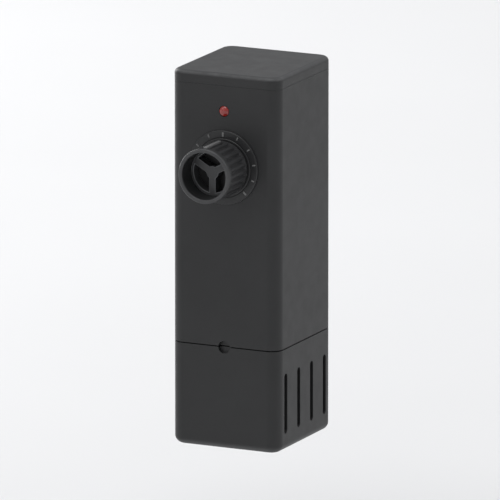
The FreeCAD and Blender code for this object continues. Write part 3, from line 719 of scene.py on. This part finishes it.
def make_bracket():
    """The bracket with its stiffening ribs towards the glass."""
    softened("wall_bracket", 0.35, 3)
    sunk_y = BRACKET_BACK - RIB_SUNK
    bm = bmesh.new()
    near, far, proud = SIDE_RIB
    for x0, x1 in ((-far, -near), (near, far)):
        outline = box_outline(x0, x1, -RIB_REACH, RIB_REACH)
        plate(bm, outline, sunk_y, BRACKET_BACK + proud, RIB_EDGE)
    length, width, proud = CROSS_RIB
    for z in (-RIB_REACH, -RIB_REACH / 3, RIB_REACH / 3, RIB_REACH):
        outline = box_outline(-length, length, z - width, z + width)
        plate(bm, outline, sunk_y, BRACKET_BACK + proud, RIB_EDGE)
    finish_piece("bracket_ribs", bm, "wall_bracket", stands_for=False)


# ---------------------------------------------------------------- suction cups
STUD_R = 2.2                # where the cup passes through the bracket
HEAD_R = 3.3                # what holds it there
CUP_STEP = 0.22             # longest stretch of its profile
CUP_AROUND = 144
BOWL_RINGS = 0.035          # height of the fine rings inside the bowl
TAB_REACH = 1.6             # how far the pull tab stands out
TAB_ROUND = 1.2
TAB_HALF = 2.2


def cup_warp(angle, radius, y):
    """Fine moulded rings inside the bowl."""
    if -1.75 < y < -0.35 and 2.4 < radius < 6.2:
        return radius, y + BOWL_RINGS * math.sin(radius * 9.0)
    return radius, y


def cup_corners(radius, head_y):
    """Profile from the middle of the bowl, round its lip and stud, to the stud's head."""
    front_y = BRACKET_BACK - PLATE_T
    return [
        (0.0, -1.3, 0.0),
        (0.45, -1.3, 0.2),
        (0.8, -1.78, 0.3),
        (3.2, -1.72, 1.0),
        (radius - 2.3, -1.0, 1.0),
        (radius - 1.1, -0.08, 0.5),
        (radius - 0.5, 0.0, 0.2),
        (radius, -0.1, 0.2),
        (radius, -0.5, 0.2),
        (radius - 1.5, -1.3, 0.8),
        (radius - 2.6, -2.0, 0.6),
        (4.3, -2.55, 0.4),
        (4.1, BRACKET_BACK, 0.2),
        (STUD_R, BRACKET_BACK, 0.0),
        (STUD_R, front_y, 0.0),
        (HEAD_R, front_y, 0.2),
        (HEAD_R, front_y - 0.8, 0.5),
        (2.1, head_y, 0.6),
        (0.0, head_y, 0.0),
    ]


def add_pull_tab(bm, radius, height):
    """Tab at the top of the cup's lip, with two grip ribs."""
    top = radius + TAB_REACH
    outline = [(-TAB_HALF, radius - 1.0), (TAB_HALF, radius - 1.0)]
    for centre, start in ((1.0, 0.0), (-1.0, 90.0)):
        for k in range(7):
            angle = math.radians(start + 15 * k)
            x = centre + TAB_ROUND * math.cos(angle)
            outline.append((x, top - TAB_ROUND + TAB_ROUND * math.sin(angle)))
    plate(bm, [(x * MM, height + z * MM) for x, z in outline], -0.8, -0.06, 0.2)
    for z in (top - 0.7, top - 1.3):
        plate(bm, box_outline(-1.3, 1.3, z - 0.14, z + 0.14, height), -1.0, -0.7, 0.1, 2)


def make_cup(node):
    low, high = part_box(node)
    radius = high.x / MM
    height = low.z + radius * MM
    path = divided(rounded_path(cup_corners(radius, low.y / MM)), CUP_STEP)
    bm = bmesh.new()
    spin_y(bm, path, height, CUP_AROUND, cup_warp)
    add_pull_tab(bm, radius, height)
    finish_piece(node.replace("suction_cup", "cup_skin"), bm, node)


make_case()
make_knob()
make_insert()
make_pointer()
make_scale_ring()
make_scale_marks()
make_lens()
make_bracket()
make_cup("upper_suction_cup")
make_cup("lower_suction_cup")

REPLACED = {
    "housing", "lower_guard", "top_cover",
    "dial_knob", "dial_insert", "dial_pointer", "scale_ring", "pilot_lens",
    "wall_bracket", "upper_suction_cup", "lower_suction_cup",
}
plain_nodes(sorted(set(BODY_OF) - REPLACED))


# ---------------------------------------------------------------- floor and light
# The unit hangs on the glass, so the floor lies low enough for the guard to come off above it.
GUARD_DROP = 30.5 * MM
FLOOR_SIZE = 6.0
FLOOR_SHADES = ((0.74, 0.74, 0.745), (0.77, 0.77, 0.775))
FLOOR_CLOUD = 0.25
SKY_COLOUR = (0.97, 0.98, 1.0, 1.0)
SKY_FRONT = 0.44            # strength in front of the object
SKY_BEHIND = 0.62           # and behind it


def floor_material():
    material, tree, shader, where = node_tree("pale_floor")
    cloud = noise(tree, where, FLOOR_CLOUD, 3.0, 0.5)
    base = blend_colours(tree, remap(tree, cloud, 0, 1), *FLOOR_SHADES)
    tree.links.new(base, shader.inputs["Base Color"])
    shader.inputs["Roughness"].default_value = 0.8
    shader.inputs["Specular IOR Level"].default_value = 0.2
    return material


def make_floor():
    bm = bmesh.new()
    bmesh.ops.create_grid(bm, x_segments=1, y_segments=1, size=FLOOR_SIZE)
    mesh = bpy.data.meshes.new("floor")
    bm.to_mesh(mesh)
    bm.free()
    mesh.materials.append(floor_material())
    floor = bpy.data.objects.new("floor", mesh)
    floor.location = (0, 0, cad_low.z - GUARD_DROP)
    bpy.context.scene.collection.objects.link(floor)


def aim_light(data, azimuth, elevation, distance):
    """Points a lamp at the object. Azimuth 0 is in front of it, 90 to its right."""
    out = direction(azimuth, elevation)
    light = bpy.data.objects.new(data.name, data)
    light.rotation_mode = "QUATERNION"
    light.location = (cad_low + cad_high) / 2 + out * distance
    light.rotation_quaternion = (-out).to_track_quat("-Z", "Y")
    bpy.context.scene.collection.objects.link(light)


def soft_panel(name, azimuth, elevation, distance, width, height, power):
    data = bpy.data.lights.new(name, "AREA")
    data.shape = "RECTANGLE"
    data.size = width
    data.size_y = height
    data.energy = power
    aim_light(data, azimuth, elevation, distance)


def broad_light(name, azimuth, elevation, spread, strength):
    """Even light from far away, as wide as a large softbox."""
    data = bpy.data.lights.new(name, "SUN")
    data.angle = math.radians(spread)
    data.energy = strength
    aim_light(data, azimuth, elevation, 1.0)


def make_world():
    """Grey-white surroundings, brighter behind the object than in front of it."""
    world = bpy.data.worlds.new("studio")
    world.use_nodes = True
    tree = world.node_tree
    background = tree.nodes["Background"]
    towards = tree.nodes.new("ShaderNodeTexCoord").outputs["Generated"]
    split = tree.nodes.new("ShaderNodeSeparateXYZ")
    tree.links.new(towards, split.inputs["Vector"])
    strength = remap(tree, split.outputs["Y"], SKY_FRONT, SKY_BEHIND, -0.9, 0.9)
    tree.links.new(strength, background.inputs["Strength"])
    background.inputs["Color"].default_value = SKY_COLOUR
    bpy.context.scene.world = world


def make_light():
    make_world()
    broad_light("key", azimuth=112, elevation=42, spread=40, strength=0.6)
    broad_light("top", azimuth=-8, elevation=70, spread=45, strength=1.15)
    soft_panel("fill", azimuth=-35, elevation=25, distance=1.3, width=0.7, height=0.7, power=1.8)
    soft_panel("edge", azimuth=-118, elevation=15, distance=0.9, width=0.25, height=0.8, power=3.4)
    bpy.context.scene.view_settings.view_transform = "Standard"


make_floor()
make_light()
